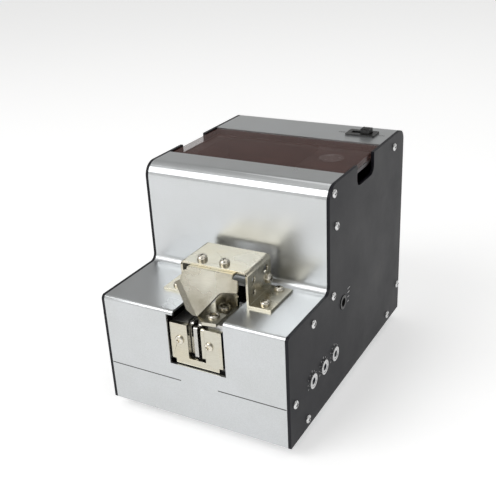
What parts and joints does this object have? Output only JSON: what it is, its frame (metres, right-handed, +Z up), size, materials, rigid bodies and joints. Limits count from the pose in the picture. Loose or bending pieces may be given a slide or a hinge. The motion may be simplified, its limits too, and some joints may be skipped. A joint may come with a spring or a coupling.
{
  "type": "automatic screw feeder",
  "caption": "Bench screw feeder: hopper with scoop, brush and vibrating slotted rail bringing loose screws to a pick-up point under a bent-sheet bit guide.",
  "frame": {"origin": "on the table under the middle of the body's width and depth", "axes": "+Z up, -Y the way the nose and pick-up head face, +X to the right as seen from the front (the side with the trimmers and the DC inlet)"},
  "size_m": [0.1268, 0.181, 0.1492],
  "materials": {
    "steel_zinc": "zinc-plated sheet",
    "panel_black": "black satin powder coat",
    "cover_silver": "fine bead-blasted, silver anodised",
    "rubber_black": "matt black",
    "screw_steel": "bright zinc",
    "plastic_dark": "matt black-brown",
    "lid_smoked": "smoked brown transparent acrylic",
    "switch_black": "semi-gloss black",
    "nickel_sheet": "warm nickel plate, lightly brushed",
    "screw_nickel": "bright nickel",
    "aluminium_block": "machined",
    "rail_steel": "ground steel",
    "spring_steel": "blued spring steel",
    "iron_dark": "dark iron",
    "copper_coil": "enamelled copper winding",
    "plastic_blue": "moulded blue",
    "plastic_white": "natural acetal",
    "motor_can": "plated motor can",
    "brass_bush": "turned bronze",
    "bristle": "nylon bristle",
    "board_green": "solder-resist green"
  },
  "bodies": {
    "feeder": {"base_plate": "steel_zinc", "left_side_panel": "panel_black", "right_side_panel": "panel_black", "front_cover": "cover_silver", "rear_cover": "cover_silver", "rubber_feet": "rubber_black", "foot_screws": "steel_zinc", "panel_screws": "screw_steel", "hopper_bin": "plastic_dark", "bin_posts": "steel_zinc", "hopper_deck": "plastic_dark", "deck_knob": "screw_steel", "switch_body": "switch_black", "bridge_bracket": "nickel_sheet", "bridge_screws": "screw_nickel", "bit_guide": "nickel_sheet", "guide_screws": "screw_nickel", "hold_down_plate": "nickel_sheet", "hold_down_screws": "screw_nickel", "front_plate": "nickel_sheet", "front_plate_screws": "screw_nickel", "rail_support": "aluminium_block", "spring_clamps": "aluminium_block", "vibration_coil": "copper_coil", "escaper_solenoid": "plastic_blue", "pickup_sensor": "plastic_dark", "cam_bearing": "aluminium_block", "gear_motor": "motor_can", "motor_bracket": "steel_zinc", "guide_rods": "screw_steel", "circuit_board": "board_green", "trimmer_bodies": "plastic_blue", "trimmer_nuts": "screw_steel", "dc_jack": "switch_black"},
    "lid": {"hopper_lid": "lid_smoked"},
    "switch_slider": {"switch_knob": "switch_black"},
    "cam": {"lift_cam": "plastic_white", "cam_shaft": "screw_steel"},
    "scoop": {"scoop_blade": "rail_steel", "scoop_carriage": "aluminium_block", "roller_pin": "screw_steel", "brush_rack": "plastic_white"},
    "roller": {"follower_roller": "brass_bush"},
    "brush": {"brush_shaft": "screw_steel", "brush_pinion": "plastic_white", "brush_arm": "plastic_dark", "brush_bristles": "bristle"},
    "rail": {"rail_left": "rail_steel", "rail_right": "rail_steel", "rail_spacer": "rail_steel", "rail_base": "aluminium_block", "leaf_springs": "spring_steel", "armature_plate": "iron_dark"},
    "escaper": {"escaper_plate": "nickel_sheet", "escaper_plunger": "screw_steel"},
    "trimmer_front": {"trimmer_shaft_front": "switch_black"},
    "trimmer_middle": {"trimmer_shaft_middle": "switch_black"},
    "trimmer_rear": {"trimmer_shaft_rear": "switch_black"}
  },
  "joints": [
    {"name": "lid_lift", "type": "slide", "parent": "feeder", "child": "lid", "axis": [0, 0, 1], "range_m": [0, 0.06]},
    {"name": "power_switch", "type": "slide", "parent": "feeder", "child": "switch_slider", "axis": [-1, 0, 0], "range_m": [0, 0.006]},
    {"name": "cam_turn", "type": "hinge", "parent": "feeder", "child": "cam", "pos_m": [-0.0085, 0.02, 0.0295], "axis": [1, 0, 0], "range_deg": [0, 180]},
    {"name": "scoop_lift", "type": "slide", "parent": "feeder", "child": "scoop", "axis": [0, 0, 1], "range_m": [0, 0.0135]},
    {"name": "roller_spin", "type": "hinge", "parent": "scoop", "child": "roller", "pos_m": [-0.0085, 0.02, 0.0375], "axis": [1, 0, 0], "continuous": true},
    {"name": "brush_swing", "type": "hinge", "parent": "feeder", "child": "brush", "pos_m": [-0.001, -0.001, 0.0938], "axis": [0, 1, 0], "range_deg": [0, 107.43]},
    {"name": "rail_vibration", "type": "slide", "parent": "feeder", "child": "rail", "axis": [0, 1, 0], "range_m": [-0.0004, 0.0004], "stiffness_N_per_m": 6000},
    {"name": "escaper_stroke", "type": "slide", "parent": "feeder", "child": "escaper", "axis": [-1, 0, 0], "range_m": [0, 0.0018], "stiffness_N_per_m": 200, "springref_m": -0.001},
    {"name": "trimmer_turn_rear", "type": "hinge", "parent": "feeder", "child": "trimmer_rear", "pos_m": [0.062, -0.0293, 0.0362], "axis": [1, 0, 0], "range_deg": [-135, 135]},
    {"name": "trimmer_turn_middle", "type": "hinge", "parent": "feeder", "child": "trimmer_middle", "pos_m": [0.062, -0.0453, 0.0362], "axis": [1, 0, 0], "range_deg": [-135, 135]},
    {"name": "trimmer_turn_front", "type": "hinge", "parent": "feeder", "child": "trimmer_front", "pos_m": [0.062, -0.0613, 0.0362], "axis": [1, 0, 0], "range_deg": [-135, 135]}
  ],
  "couplings": [
    {"joint": "cam_turn", "follows": "scoop_lift", "rad_per_m": 232.71},
    {"joint": "brush_swing", "follows": "scoop_lift", "rad_per_m": 138.89}
  ]
}
